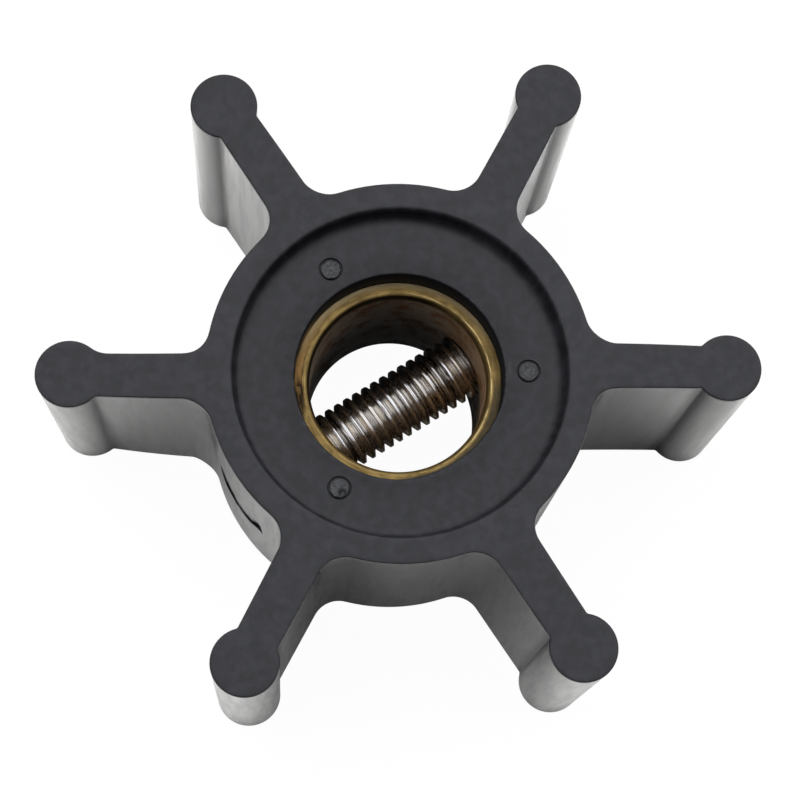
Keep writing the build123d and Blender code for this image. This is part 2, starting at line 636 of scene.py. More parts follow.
@dataclass(frozen=True)
class BrassFinish:
    """Turned brass, dull in streaks, browned at one side, with a painted highlight along its inner edge."""

    clean: Colour = (0.40, 0.272, 0.094, 1.0)
    dull: Colour = (0.165, 0.113, 0.042, 1.0)
    burnt: Colour = (0.30, 0.165, 0.058, 1.0)
    black: Colour = (0.018, 0.013, 0.009, 1.0)
    # The colour of the painted highlight along the inner edge
    painted_highlight: Colour = (0.86, 0.66, 0.30, 1.0)
    # A darker tone for the outer part of the face at the front right
    front_right_dark: Colour = (0.062, 0.053, 0.035, 1.0)
    # The colour of painted light on the outer part of the face at the back
    pale: Colour = (0.80, 0.62, 0.33, 1.0)
    streak_size: float = 0.17
    streak_way: float = 0.9
    patch_size: float = 1.3
    dent_size: float = 0.25
    dent_depth: float = 0.012
    tool_pitch: float = 0.09
    tool_depth: float = 0.002
    seam: float = 0.56
    # How far out from the bore the painted highlight runs
    highlight_line: float = 0.34

    def material(self, bore_radius: float) -> Material:
        """Makes the material.

        Args:
            bore_radius: The radius of the bore.

        Returns:
            The material.
        """
        material = bpy.data.materials.new("turned_brass")
        graph = Graph(material)
        x, y, z = graph.add("SeparateXYZ", {0: graph.place()}).outputs
        reach = graph.vector("LENGTH", graph.add("CombineXYZ", {0: x, 1: y}).outputs[0])
        wall = graph.math("SUBTRACT", reach, bore_radius * MM)
        way = graph.product(graph.math("ARCTAN2", y, x), self.streak_way * MM)
        drawn = graph.add("CombineXYZ", {0: reach, 1: way, 2: z}).outputs[0]
        streaks = graph.remap(graph.noise(drawn, self.streak_size, 3.0, 0.62), 0.36, 0.66)
        patches = graph.remap(graph.grain(self.patch_size, 4.0, 0.65), 0.3, 0.7)
        dulled = graph.math("ADD", graph.product(patches, 0.45), graph.product(streaks, 0.55))
        colour = graph.blend(dulled, self.clean, self.dull)
        for tone, share in self.stains(graph, x, y, wall, streaks):
            colour = graph.blend(share, colour, tone)
        turning = graph.math("SINE", graph.product(reach, TURN / (self.tool_pitch * MM)))
        turning = graph.product(graph.math("ADD", turning, 1.0), 0.5)
        dents = graph.bump(graph.grain(self.dent_size, 3.0, 0.6, 0.023), self.dent_depth)
        rough = graph.remap(patches, 0.0, 1.0, 0.28, 0.4)
        graph.surface(graph.add("BsdfPrincipled", {
            "Base Color": colour, "Metallic": 1.0,
            "Roughness": graph.math("ADD", rough, graph.ramp(wall, 0.12, 0.3, 0.35, 0.0)),
            "Normal": graph.bump(turning, self.tool_depth, dents),
        }))
        return material

    def stains(self, graph: Graph, x: Socket, y: Socket, wall: Socket,
               streaks: Socket) -> list[tuple[Colour, Socket]]:
        """Gives the tones that lie over the plain brass, painted light among them, each with its mask.

        Args:
            graph: The material's graph.
            x: The place along +X.
            y: The place along +Y.
            wall: The distance outwards from the bore.
            streaks: The brass's streaks.

        Returns:
            The tones and masks, in the order in which they lie over each other.
        """
        left = graph.ramp(x, -6.9, -4.6, 1.0, 0.0)
        burnt = graph.product(left, graph.ramp(y, -2.2, 0.2), graph.ramp(wall, 0.52, 0.62), 0.75)
        seam = graph.product(graph.near(wall, self.seam, 0.02, 0.07), left, streaks, 0.85)
        char = graph.remap(streaks, 0.0, 0.5, 0.55, 0.95)
        scorched = graph.product(graph.ramp(x, -6.95, -6.6, 1.0, 0.0), graph.near(y, -0.9, 0.9, 2.0), char)
        # Painted light: the outer part of the face at the back is made paler
        back = graph.product(graph.ramp(y, 1.5, 5.5), graph.ramp(wall, 0.6, 1.05))
        # Darker towards the outer edge of the face at the front right, beside the rubber
        front_right = graph.ramp(graph.math("SUBTRACT", x, y), 6.3, 8.2)
        corner = graph.product(front_right, graph.ramp(wall, 0.42, 0.58), 0.85)
        # Painted highlight: a thin bright line near the inner edge, strongest towards +X
        highlight_strength = graph.product(graph.remap(streaks, 0.9, 0.2, 0.15, 1.0), graph.ramp(x, 0.5, 6.0, 0.12, 0.9))
        edge = graph.product(graph.near(wall, self.highlight_line, 0.02, 0.08), highlight_strength)
        back_left = graph.ramp(graph.math("SUBTRACT", y, x), 0.5, 4.0)
        lip = graph.product(back_left, graph.ramp(wall, 0.14, 0.24, 1.0, 0.0), 0.9)
        return [(self.burnt, burnt), (self.black, seam), (self.black, scorched), (self.pale, back),
                (self.front_right_dark, corner), (self.painted_highlight, edge), (self.black, lip)]


@dataclass(frozen=True)
class BoreFinish:
    """The burnt, oily skin on the brass of the bore, with rust from the screw in patches, and shade painted
    deeper down.
    """

    stain: Colour = (0.105, 0.078, 0.052, 1.0)
    rust: Colour = (0.085, 0.034, 0.015, 1.0)
    lit: Colour = (0.155, 0.098, 0.052, 1.0)
    # The colour of the painted shade deep in the bore
    deep_shade: Colour = (0.0025, 0.0022, 0.0022, 1.0)
    refraction: float = 1.16
    rust_size: float = 1.7
    speck_size: float = 0.35
    dent_size: float = 0.25
    dent_depth: float = 0.01

    def material(self) -> Material:
        """Makes the material.

        Returns:
            The material.
        """
        material = bpy.data.materials.new("bore_skin")
        graph = Graph(material)
        x, _, z = graph.add("SeparateXYZ", {0: graph.place()}).outputs
        rusty = graph.remap(graph.grain(self.rust_size, 4.0, 0.65, 0.017), 0.46, 0.64)
        specks = graph.remap(graph.grain(self.speck_size, 3.0, 0.7, 0.037), 0.4, 0.6, 0.55, 1.0)
        colour = graph.blend(graph.ramp(x, 2.5, 6.3, 0.0, 0.8), self.stain, self.lit)
        colour = graph.blend(graph.product(rusty, specks), colour, self.rust)
        # Painted shade: darker deeper down the bore
        colour = graph.blend(graph.ramp(z, 5.0, 13.5, 0.9, 0.0), colour, self.deep_shade)
        graph.surface(graph.add("BsdfPrincipled", {
            "Base Color": colour, "Roughness": graph.remap(rusty, 0.0, 1.0, 0.5, 0.7), "IOR": self.refraction,
            "Normal": graph.bump(graph.grain(self.dent_size, 3.0, 0.6, 0.023), self.dent_depth),
        }))
        return material


@dataclass(frozen=True)
class SteelFinish:
    """Bright cut steel, with lines scored along the thread, its flanks a little darkened with painted shade,
    and painted shade down its sides that turns into a painted brown reflection at the front.
    """

    bright: Colour = (0.96, 0.95, 0.93, 1.0)
    oiled: Colour = (0.88, 0.86, 0.82, 1.0)
    dirt: Colour = (0.66, 0.62, 0.56, 1.0)
    # The colour of the scored lines, also used as painted shade on the flanks
    score_and_flank_shade: Colour = (0.15, 0.125, 0.10, 1.0)
    gilt: Colour = (0.82, 0.68, 0.48, 1.0)
    # Painted shade down the sides, and a painted reflection of the bore at the front
    painted_side_shade: Colour = (0.095, 0.090, 0.080, 1.0)
    painted_side_reflection: Colour = (0.42, 0.345, 0.24, 1.0)
    line_size: float = 0.12
    line_depth: float = 0.02
    line_waver: float = 0.12
    waver_size: float = 1.5
    patch_size: float = 0.8
    pit_size: float = 0.1
    pit_depth: float = 0.004

    def material(self, middle: Vector, along: Vector, pitch: float, root: float, crest: float) -> Material:
        """Makes the material.

        Args:
            middle: The screw's middle.
            along: Its direction.
            pitch: The thread's pitch.
            root: The radius at the threads' roots, where dirt lies.
            crest: The radius at their crests.

        Returns:
            The material.
        """
        material = bpy.data.materials.new("oiled_steel")
        graph = Graph(material)
        moved = graph.vector("SUBTRACT", graph.place(), tuple(middle * MM))
        reach = graph.vector("LENGTH", graph.vector("CROSS_PRODUCT", moved, tuple(along)))
        way = graph.vector("DOT_PRODUCT", moved, tuple(along))
        aside = graph.vector("DOT_PRODUCT", moved, tuple(UP.cross(along)))
        rise = graph.add("SeparateXYZ", {0: moved}).outputs[2]
        lines = self.lines(graph, way, graph.math("ARCTAN2", rise, aside), pitch)
        lean = graph.vector("DOT_PRODUCT", graph.add("NewGeometry").outputs["Normal"], tuple(along))
        front = graph.math("DIVIDE", aside, reach)
        crown = graph.math("ADD", graph.math("DIVIDE", rise, reach), graph.product(front, 0.3))
        # Painted shade down the screw's sides, away from its top: black at the back, and brown at the front
        # where it stands for a reflection of the bore
        sides = graph.remap(crown, 0.3, 0.82, 1.0, 0.0)
        painted_side_shade = graph.blend(graph.remap(front, -0.2, 0.5), self.painted_side_shade, self.painted_side_reflection)
        patches = graph.remap(graph.grain(self.patch_size, 4.0, 0.65, 0.019), 0.4, 0.65)
        colour = self.bright
        for tone, share in (
                (self.oiled, graph.product(patches, 0.7)),
                (self.dirt, graph.ramp(reach, root, crest, 0.2, 0.0)),
                (self.gilt, graph.remap(lines, 0.44, 0.39, 0.0, 0.7)),
                (self.score_and_flank_shade, graph.remap(lines, 0.55, 0.59, 0.0, 0.9)),
                # Painted shade: flanks that lean along the screw are darkened a little, in the same dark
                # colour as the scored lines
                (self.score_and_flank_shade, graph.remap(graph.math("ABSOLUTE", lean), 0.4, 0.8, 0.0, 0.05)),
                (painted_side_shade, graph.product(sides, 0.88))):
            colour = graph.blend(share, colour, tone)
        rough = graph.remap(patches, 0.0, 1.0, 0.19, 0.28)
        pits = graph.grain(self.pit_size, 2.0, 0.6, 0.011)
        graph.surface(graph.add("BsdfPrincipled", {
            "Base Color": colour, "Metallic": 1.0,
            "Roughness": graph.math("ADD", rough, graph.product(sides, 0.3)),
            "Normal": graph.bump(pits, self.pit_depth, graph.bump(lines, self.line_depth)),
        }))
        return material

    def lines(self, graph: Graph, way: Socket, turn: Socket, pitch: float) -> Socket:
        """Gives the fine lines that the die has scored along the thread.

        Args:
            graph: The material's graph.
            way: The distance along the screw.
            turn: The turn round it, in radians.
            pitch: The thread's pitch, by which the lines climb in a turn.

        Returns:
            The lines, from 0 to 1.
        """
        level = graph.math("SUBTRACT", way, graph.product(turn, pitch * MM / TURN))
        waver = graph.product(graph.grain(self.waver_size, 1.0), self.line_waver * MM)
        place = graph.add("CombineXYZ", {0: level, 1: waver}).outputs[0]
        return graph.noise(place, self.line_size, 2.0, 0.6)


@dataclass
class BladePlan:
    """One blade in plan, worked out straight along +X and then bent to the set it has taken."""

    hub_radius: float
    tip_radius: float
    base_radius: float = 7.45
    root_thickness: float = 3.5
    tip_thickness: float = 3.05
    bead_radius: float = 2.4
    root_fillet: float = 2.1
    root_hold: float = 1.6
    root_steps: int = 12
    web_steps: int = 14
    neck_steps: int = 5
    bead_steps: int = 20

    @property
    def bead_circle(self) -> float:
        """The distance from the hub's axis to the bead's middle."""
        return self.tip_radius - self.bead_radius

    @property
    def slope(self) -> float:
        """How much a side of the web comes in for each millimetre outwards."""
        return (self.tip_thickness - self.root_thickness) / 2 / (self.bead_circle - self.base_radius)

    @property
    def crease(self) -> int:
        """The number of the point in the outline that lies in the middle of the neck's fillet."""
        return self.root_steps + self.web_steps + self.neck_steps // 2

    def side(self, x: float) -> float:
        """Half the web's thickness at a distance from the axis."""
        return self.root_thickness / 2 + self.slope * (x - self.base_radius)

    def fillet(self, origin: float, reach: float, radius: float,
               outer: bool) -> tuple[Vector, Vector, Vector]:
        """Places a fillet between the web's side and a circle on the blade's middle line.

        Args:
            origin: The circle's middle, along the blade.
            reach: The circle's radius.
            radius: The fillet's radius.
            outer: Whether the fillet is on the circle's outer side.

        Returns:
            The fillet's centre, and where it meets the circle and the side.
        """
        lean = math.hypot(1.0, self.slope)
        rise = self.side(0.0) + radius * lean
        half = (self.slope * rise - origin) / lean ** 2
        rest = (origin ** 2 + rise ** 2 - (reach + radius) ** 2) / lean ** 2
        root = math.sqrt(half ** 2 - rest)
        x = -half + root if outer else -half - root
        centre = Vector((x, rise + self.slope * x))
        middle = Vector((origin, 0.0))
        on_circle = middle + (centre - middle) * (reach / (reach + radius))
        on_side = centre - Vector((-self.slope, 1.0)) * (radius / lean)
        return centre, on_circle, on_side

    def arc(self, centre: Vector, start: Vector, end: Vector, steps: int) -> list[Vector]:
        """Gives the shorter arc between two points.

        Args:
            centre: The arc's centre.
            start: Its first point.
            end: Its last point.
            steps: How many chords it has.

        Returns:
            Its points, both ends among them.
        """
        first = math.atan2(start.y - centre.y, start.x - centre.x)
        last = math.atan2(end.y - centre.y, end.x - centre.x)
        turn = (last - first + math.pi) % TURN - math.pi
        radius = (start - centre).length
        angles = [first + turn * step / steps for step in range(steps + 1)]
        return [centre + radius * Vector((math.cos(angle), math.sin(angle))) for angle in angles]

    def half(self, neck_fillet: float) -> list[Vector]:
        """Gives the left half of the outline, from the hub to the tip of the bead.

        Args:
            neck_fillet: The radius of the fillet between the web and the bead.

        Returns:
            The half outline's points.
        """
        centre, on_hub, on_side = self.fillet(0.0, self.hub_radius, self.root_fillet, True)
        points = self.arc(centre, on_hub, on_side, self.root_steps)
        centre, on_bead, on_neck = self.fillet(self.bead_circle, self.bead_radius, neck_fillet, False)
        points += [on_side.lerp(on_neck, step / self.web_steps) for step in range(1, self.web_steps)]
        points += self.arc(centre, on_neck, on_bead, self.neck_steps)
        middle = Vector((self.bead_circle, 0.0))
        points += self.arc(middle, on_bead, Vector((self.tip_radius, 0.0)), self.bead_steps)[1:]
        return points

    def bent(self, shift: float, necks: Flat) -> list[Vector]:
        """Gives the whole outline with its bead set to one side, from its right root to its left one.

        Args:
            shift: How far the bead has moved to the left.
            necks: The radii of the fillets at its neck, right and left.

        Returns:
            The outline's points.
        """
        left = self.half(necks[1])
        right = [Vector((point.x, -point.y)) for point in self.half(necks[0])]
        length = self.bead_circle - self.base_radius
        points = []
        for point in right + left[-2::-1]:
            part = min((point.x - self.base_radius) / length, 1.0)
            hold = smooth(point.length, self.hub_radius, self.hub_radius + self.root_hold)
            lean = 2 * shift * part / length * hold
            past = max(point.x - self.bead_circle, 0.0)
            aside = Vector((-math.sin(lean), math.cos(lean))) * point.y
            ahead = Vector((math.cos(lean), math.sin(lean))) * past
            centre = Vector((point.x - past, shift * part ** 2 * hold))
            points.append(centre + aside + ahead)
        return points


@dataclass
class ImpellerBody:
    """The rubber moulding: hub, beaded blades, recesses, gate marks, and the slit to the screw."""

    # How far each blade's bead has set to the left, and the fillets of the neck that has softened
    upper_set: tuple[float, ...] = (-0.58, 0.0, 0.29, -0.52, 0.03, 0.16)
    lower_set: tuple[float, ...] = (-0.58, 0.0, 0.46, -1.48, 0.03, 0.16)
    neck_fillet: float = 0.28
    soft_blade: int = 3
    soft_necks: Flat = (2.1, 0.55)

    # Hub, recesses and the mouth of the bush's hole, whose lip has crept inwards on one side
    hub_radius: float = 13.7
    hub_margin: float = 0.3
    recess_radius: float = 11.75
    recess_depth: float = 1.6
    recess_corner: float = 0.75
    recess_edge: float = 0.3
    mouth_radius: float = 7.45
    mouth_steps: int = 12
    lip_bearing: float = 304.0
    lip_size: float = 0.17
    lip_depths: Flat = (1.6, 0.4)
    lip_spread: Flat = (5.0, 42.0)
    seat_margin: float = 0.02
    seat_slope: float = 0.3
    edge: float = 0.13
    border: float = 0.3
    floor_border: float = 0.2
    hub_steps: int = 12
    round_steps: int = 240
    sharp: float = 40.0

    # Unevenness of the outer wall
    wave_size: float = 4.0
    wave_depth: float = 0.02
    wave_rise: float = 0.15

    # Gate marks: a torn pip in a groove, the last of them nicked
    mark_circle: float = 9.15
    mark_count: int = 3
    mark_radius: float = 0.85
    mark_step: float = 0.075
    groove_width: float = 0.15
    groove_depth: float = 0.22
    groove_slope: float = 0.05
    groove_rim: Flat = (-0.04, 0.01)
    pip_rim: Flat = (-0.07, 0.01)
    pip_height: float = 0.035
    pip_step: float = 0.07
    pip_shift: float = 7.0
    crumbs: tuple[Flat, ...] = ((3.4, 0.06), (9.0, 0.045))
    nick: Flat = (0.16, -0.36)
    nick_depth: float = 0.26
    nick_spread: Flat = (0.1, 0.36)

    # The slit's line: bearing, height, how far the upper lip stands back and the lower one out, and gape
    slit_line: tuple[tuple[float, float, float, float, float], ...] = (
        (198.6, 12.6, 0.0, 0.0, 0.0), (200.0, 12.0, 0.04, 0.03, 0.06), (201.6, 11.2, 0.05, 0.06, 0.1),
        (203.2, 10.6, 0.05, 0.08, 0.14), (205.0, 10.2, 0.06, 0.07, 0.18), (207.3, 9.8, 0.07, 0.04, 0.2),
        (210.1, 9.3, 0.08, 0.02, 0.22), (214.4, 9.4, 0.09, 0.02, 0.22), (217.4, 9.8, 0.1, 0.02, 0.26),
        (218.8, 10.2, 0.17, 0.02, 0.5), (220.4, 10.5, 0.24, 0.01, 0.8), (221.4, 10.45, 0.13, 0.0, 0.45),
        (222.6, 10.3, 0.0, 0.0, 0.0))
    slit_space: int = 3
    slit_steps: int = 64
    slit_level: float = 10.0
    slit_fade: float = 4.0
    slit_lift: float = 0.025
    slit_overlap: float = 0.1
    slit_margin: float = 0.6
    lift_spread: Flat = (0.3, 6.0)
    upper_lip_spread: float = 3.2
    lower_lip_spread: float = 4.0
    rows_below: tuple[float, ...] = (
        0.04, 0.11, 0.19, 0.27, 0.35, 0.43, 0.5, 0.57, 0.64, 0.7, 0.76, 0.82, 0.87, 0.91, 0.95, 0.98, 1.0)
    rows_above: tuple[float, ...] = (
        0.001, 0.02, 0.05, 0.09, 0.13, 0.18, 0.23, 0.29, 0.35, 0.42, 0.5, 0.59, 0.69, 0.79, 0.89, 0.965)

    finish: RubberFinish = field(default_factory=RubberFinish)
    bond: BondFinish = field(default_factory=BondFinish)

    def __post_init__(self) -> None:
        """Takes the height and reach from the CAD node."""
        _, high = node_size("impeller_body")
        self.height = high.z
        self.upper_floor = self.height - self.recess_depth
        self.plan = BladePlan(self.hub_radius, high.x)

    @property
    def marks(self) -> list[Vector]:
        """The centres of the gate marks, on the upper recess's floor."""
        bearings = [360.0 * index / self.mark_count for index in range(self.mark_count)]
        return [polar(self.mark_circle, bearing, self.upper_floor) for bearing in bearings]

    @property
    def pip_radius(self) -> float:
        """The radius of a gate mark's torn pip, inside its groove."""
        return self.mark_radius - self.groove_width

    def outline(self, height: float) -> list[Vector]:
        """Gives the moulding's plan at a height.

        Args:
            height: The height above the lower end faces.

        Returns:
            The plan's points, anticlockwise.
        """
        count = len(self.upper_set)
        part = height / self.height
        hub_end = self.plan.half(self.neck_fillet)[0]
        root = -math.atan2(hub_end.y, hub_end.x)
        points: list[Vector] = []
        for index, (lower, upper) in enumerate(zip(self.lower_set, self.upper_set)):
            necks = (self.neck_fillet, self.neck_fillet)
            if index == self.soft_blade:
                necks = tuple(self.neck_fillet + (neck - self.neck_fillet) * part for neck in self.soft_necks)
            turn = Matrix.Rotation(TURN * index / count, 2)
            points += [turn @ point for point in self.plan.bent(lower + (upper - lower) * part, necks)]
            last = math.atan2(points[-1].y, points[-1].x)
            way = (TURN * (index + 1) / count + root - last) % TURN
            steps = self.slit_steps if index == self.slit_space else self.hub_steps
            for step in range(1, steps):
                points.append(polar(self.hub_radius, math.degrees(last + way * step / steps)).xy)
        return points

    def row(self, height: float, inset: float) -> list[Point]:
        """Gives one closed row of the outer wall.

        Args:
            height: The row's height.
            inset: How far it stands in from the plan.

        Returns:
            The row's points.
        """
        plan = self.outline(height)
        inner = smooth(min(height, self.height - height), 0.0, 1.0)
        points: list[Point] = []
        for index, point in enumerate(plan):
            before = (point - plan[index - 1]).normalized()
            after = (plan[(index + 1) % len(plan)] - point).normalized()
            tangent = (before + after).normalized()
            outward = Vector((tangent.y, -tangent.x))
            place = Vector((point.x, point.y, height * self.wave_rise)) / self.wave_size
            wave = 0.5 + 0.5 * noise.noise(place)
            lift, stand = self.lips(point, height)
            moved = point + outward * (stand - inset - self.wave_depth * wave * inner)
            points.append((moved.x, moved.y, height + lift))
        return points

    def slit_at(self, bearing: float) -> tuple[float, ...]:
        """Reads the slit's line at a bearing.

        Args:
            bearing: The bearing, in degrees, not beyond the line's ends.

        Returns:
            The line's height, how far its upper lip stands back and its lower lip forward, and its gape.
        """
        pairs = zip(self.slit_line, self.slit_line[1:])
        first, second = next(pair for pair in pairs if bearing <= pair[1][0])
        part = (bearing - first[0]) / (second[0] - first[0])
        return tuple(low + (high - low) * part for low, high in zip(first[1:], second[1:]))

    def lips(self, point: Vector, level: float) -> Flat:
        """Gives how the rubber of the hub's wall is moved along the slit.

        Args:
            point: A point of the plan.
            level: The height of its row.

        Returns:
            How far the point is lifted, and how far it stands out.
        """
        if point.length > self.hub_radius + self.hub_margin:
            return 0.0, 0.0
        bearing = math.degrees(math.atan2(point.y, point.x)) % 360.0
        first, last = self.slit_line[0][0], self.slit_line[-1][0]
        height, back, forward, _ = self.slit_at(min(max(bearing, first), last))
        fade = 1.0 - smooth(max(first - bearing, bearing - last), 0.0, self.slit_fade)
        away = level - self.slit_level
        lift = (height - self.slit_level) * fade * (1.0 - smooth(abs(away), *self.lift_spread))
        if away > 0.001:
            return lift, -back * (1.0 - smooth(away, 0.0, self.upper_lip_spread))
        return lift, forward * (1.0 - smooth(-away, 0.0, self.lower_lip_spread))

    def wall_rows(self) -> Rows:
        """Gives the rows of the outer wall, from the lower end's border to the upper end's.

        Returns:
            The rows.
        """
        turn = rounded((self.edge, self.edge), (0.0, self.edge), (self.edge, 0.0))
        below = self.slit_level - self.edge
        above = self.height - self.edge - self.slit_level
        places = [(0.0, self.edge + self.border)] + turn
        places += [(self.edge + below * part, 0.0) for part in self.rows_below]
        places += [(self.slit_level + above * part, 0.0) for part in self.rows_above]
        places += [(self.height - level, inset) for level, inset in reversed(turn)]
        places.append((self.height, self.edge + self.border))
        return [self.row(level, inset) for level, inset in places]

    def recess_rows(self, floor: float, rim: float) -> Rows:
        """Gives the rows of one recess, from the border of the end face to the floor's border.

        Args:
            floor: The height of the recess's floor.
            rim: The height of the end face.

        Returns:
            The rows.
        """
        sign = 1.0 if rim > floor else -1.0
        top = rim - sign * self.recess_edge
        wide = self.recess_radius
        low = floor + sign * self.recess_corner
        foot = wide - self.recess_corner
        profile = [(wide + self.recess_edge + self.border, rim)]
        profile += rounded((wide + self.recess_edge, top), (wide + self.recess_edge, rim), (wide, top), 6)
        profile.append((wide, (top + low) / 2))
        profile += rounded((foot, low), (wide, low), (foot, floor), 8)
        profile.append((foot - self.floor_border, floor))
        return [ring(radius, height, self.round_steps) for radius, height in profile]

    def mouth_rows(self) -> Rows:
        """Gives the rows of the hole for the bush, from the upper floor's border to the lower one's.

        Returns:
            The rows.
        """
        tight = self.mouth_radius
        wide = tight + self.edge
        high = self.upper_floor - self.edge
        low = self.recess_depth + self.edge
        profile = rounded((wide, high), (wide, self.upper_floor), (tight, high))
        parts = [step / self.mouth_steps for step in range(1, self.mouth_steps)]
        profile += [(tight, high + (low - high) * part) for part in parts]
        profile += rounded((wide, low), (tight, low), (wide, self.recess_depth))
        profile.append((wide + self.floor_border, self.recess_depth))
        border = ring(wide + self.floor_border, self.upper_floor, self.round_steps)
        return [border] + [self.mouth_row(radius, height) for radius, height in profile]

    def mouth_row(self, radius: float, height: float) -> list[Point]:
        """Gives one row of the hole for the bush, with the lip that has crept inwards on one side.

        Args:
            radius: The row's radius.
            height: Its height.

        Returns:
            The row's points.
        """
        deep, shallow = self.lip_depths
        rise = smooth(height, self.upper_floor - deep, self.upper_floor - shallow)
        points: list[Point] = []
        for step in range(self.round_steps):
            degrees = 360.0 * step / self.round_steps
            aside = abs((degrees - self.lip_bearing + 180.0) % 360.0 - 180.0)
            inward = self.lip_size * (1.0 - smooth(aside, *self.lip_spread)) * rise
            points.append(tuple(polar(radius - inward, degrees, height)))
        return points

    def mark_relief(self, spot: Vector) -> float:
        """Gives the relief of the gate marks in the upper recess's floor.

        Args:
            spot: A point of the floor.

        Returns:
            Its height above the plain floor.
        """
        inner = self.pip_radius
        pip_start, pip_end = (inner + step for step in self.pip_rim)
        rim_start, rim_end = (self.mark_radius + step for step in self.groove_rim)
        for index, centre in enumerate(self.marks):
            away = spot - centre.xy
            reach = away.length
            if reach > rim_end:
                continue
            if reach > pip_end:
                into = smooth(reach, inner, inner + self.groove_slope)
                return -self.groove_depth * into * (1.0 - smooth(reach, rim_start, rim_end))
            place = Vector((spot.x, spot.y, index * self.pip_shift))
            relief = self.pip_height + sum(depth * noise.noise(place * scale) for scale, depth in self.crumbs)
            if index == self.mark_count - 1:
                aside = (away - Vector(self.nick)).length
                relief -= self.nick_depth * (1.0 - smooth(aside, *self.nick_spread))
            return relief * (1.0 - smooth(reach, pip_start, pip_end))
        return 0.0

    def mark_points(self) -> list[Flat]:
        """Gives the points in the upper recess's floor that carry the gate marks' relief.

        Returns:
            The points in plan.
        """
        radii = [self.pip_step * step for step in range(1, 9)]
        radii += [self.pip_radius + step for step in (-0.06, 0.0, self.groove_slope, 0.08)]
        radii += [self.mark_radius + step for step in (*self.groove_rim, 0.12)]
        points: list[Flat] = []
        for centre in self.marks:
            points.append((centre.x, centre.y))
            for radius in radii:
                count = max(10, int(TURN * radius / self.mark_step))
                for step in range(count):
                    angle = TURN * (step + radius * 3.0) / count
                    points.append((centre.x + radius * math.cos(angle), centre.y + radius * math.sin(angle)))
        return points

    def slit_cutter(self, screw: "DriveScrew") -> Object:
        """Makes the space of the slit, from the screw's end out through the hub's wall.

        Args:
            screw: The screw that is reached through the slit.

        Returns:
            The space.
        """
        start = screw.length / 2 - self.slit_overlap
        columns = []
        for bearing, level, _, _, gape in self.slit_line[1:-1]:
            aside = self.hub_radius * math.sin(math.radians(bearing - screw.bearing))
            end = math.sqrt((self.hub_radius + self.slit_margin) ** 2 - aside ** 2)
            base = level + self.slit_lift
            corners = ((start, base), (end, base), (end, base + gape), (start, base + gape))
            column = [screw.along * way + screw.across * aside + UP * height for way, height in corners]
            columns.append([tuple(corner) for corner in column])
        return bar("slit_space", columns)

    def build(self, screw: "DriveScrew") -> Object:
        """Builds the moulding.

        Args:
            screw: The screw that sits in it.

        Returns:
            The finished piece.
        """
        wall = self.wall_rows()
        upper = self.recess_rows(self.upper_floor, self.height)
        lower = self.recess_rows(self.recess_depth, 0.0)
        mouth = self.mouth_rows()
        shell = Shell()
        for rows in (wall, upper, lower, mouth, [lower[-1], mouth[-1]]):
            shell.rows(rows)
        shell.fill(wall[0], lower[0], [], lambda _: 0.0)
        shell.fill(wall[-1], upper[0], [], lambda _: self.height)
        shell.fill(upper[-1], mouth[0], self.mark_points(),
                   lambda spot: self.upper_floor + self.mark_relief(spot))
        piece = shell.build("rubber_moulding", self.sharp)
        cut(piece, screw.space(screw.length / 2 + screw.end_clearance), self.sharp)
        cut(piece, self.slit_cutter(screw), self.sharp)
        piece.data.materials.append(self.finish.material(
            self.marks, self.pip_radius, self.mouth_radius, self.height, self.necks()))
        piece.data.materials.append(self.bond.material(self.mouth_radius, node_size("hub_bush")[1].z))
        seat = self.mouth_radius + self.seat_margin
        for face in piece.data.polygons:
            if (face.center / MM).xy.length < seat and abs(face.normal.z) < self.seat_slope:
                face.material_index = 1
        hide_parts("impeller_body")
        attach(piece, "root")
        return piece

    def necks(self) -> list[Vector]:
        """Gives the places in plan where the crisp necks meet their beads, at mid height.

        Returns:
            The places.
        """
        crease = self.plan.crease
        points = []
        for index, (lower, upper) in enumerate(zip(self.lower_set, self.upper_set)):
            blade = self.plan.bent((upper + lower) / 2, (self.neck_fillet, self.neck_fillet))
            turn = Matrix.Rotation(TURN * index / len(self.upper_set), 2)
            sides = (crease, -1 - crease) if index != self.soft_blade else (-1 - crease,)
            points += [turn @ blade[side] for side in sides]
        return points


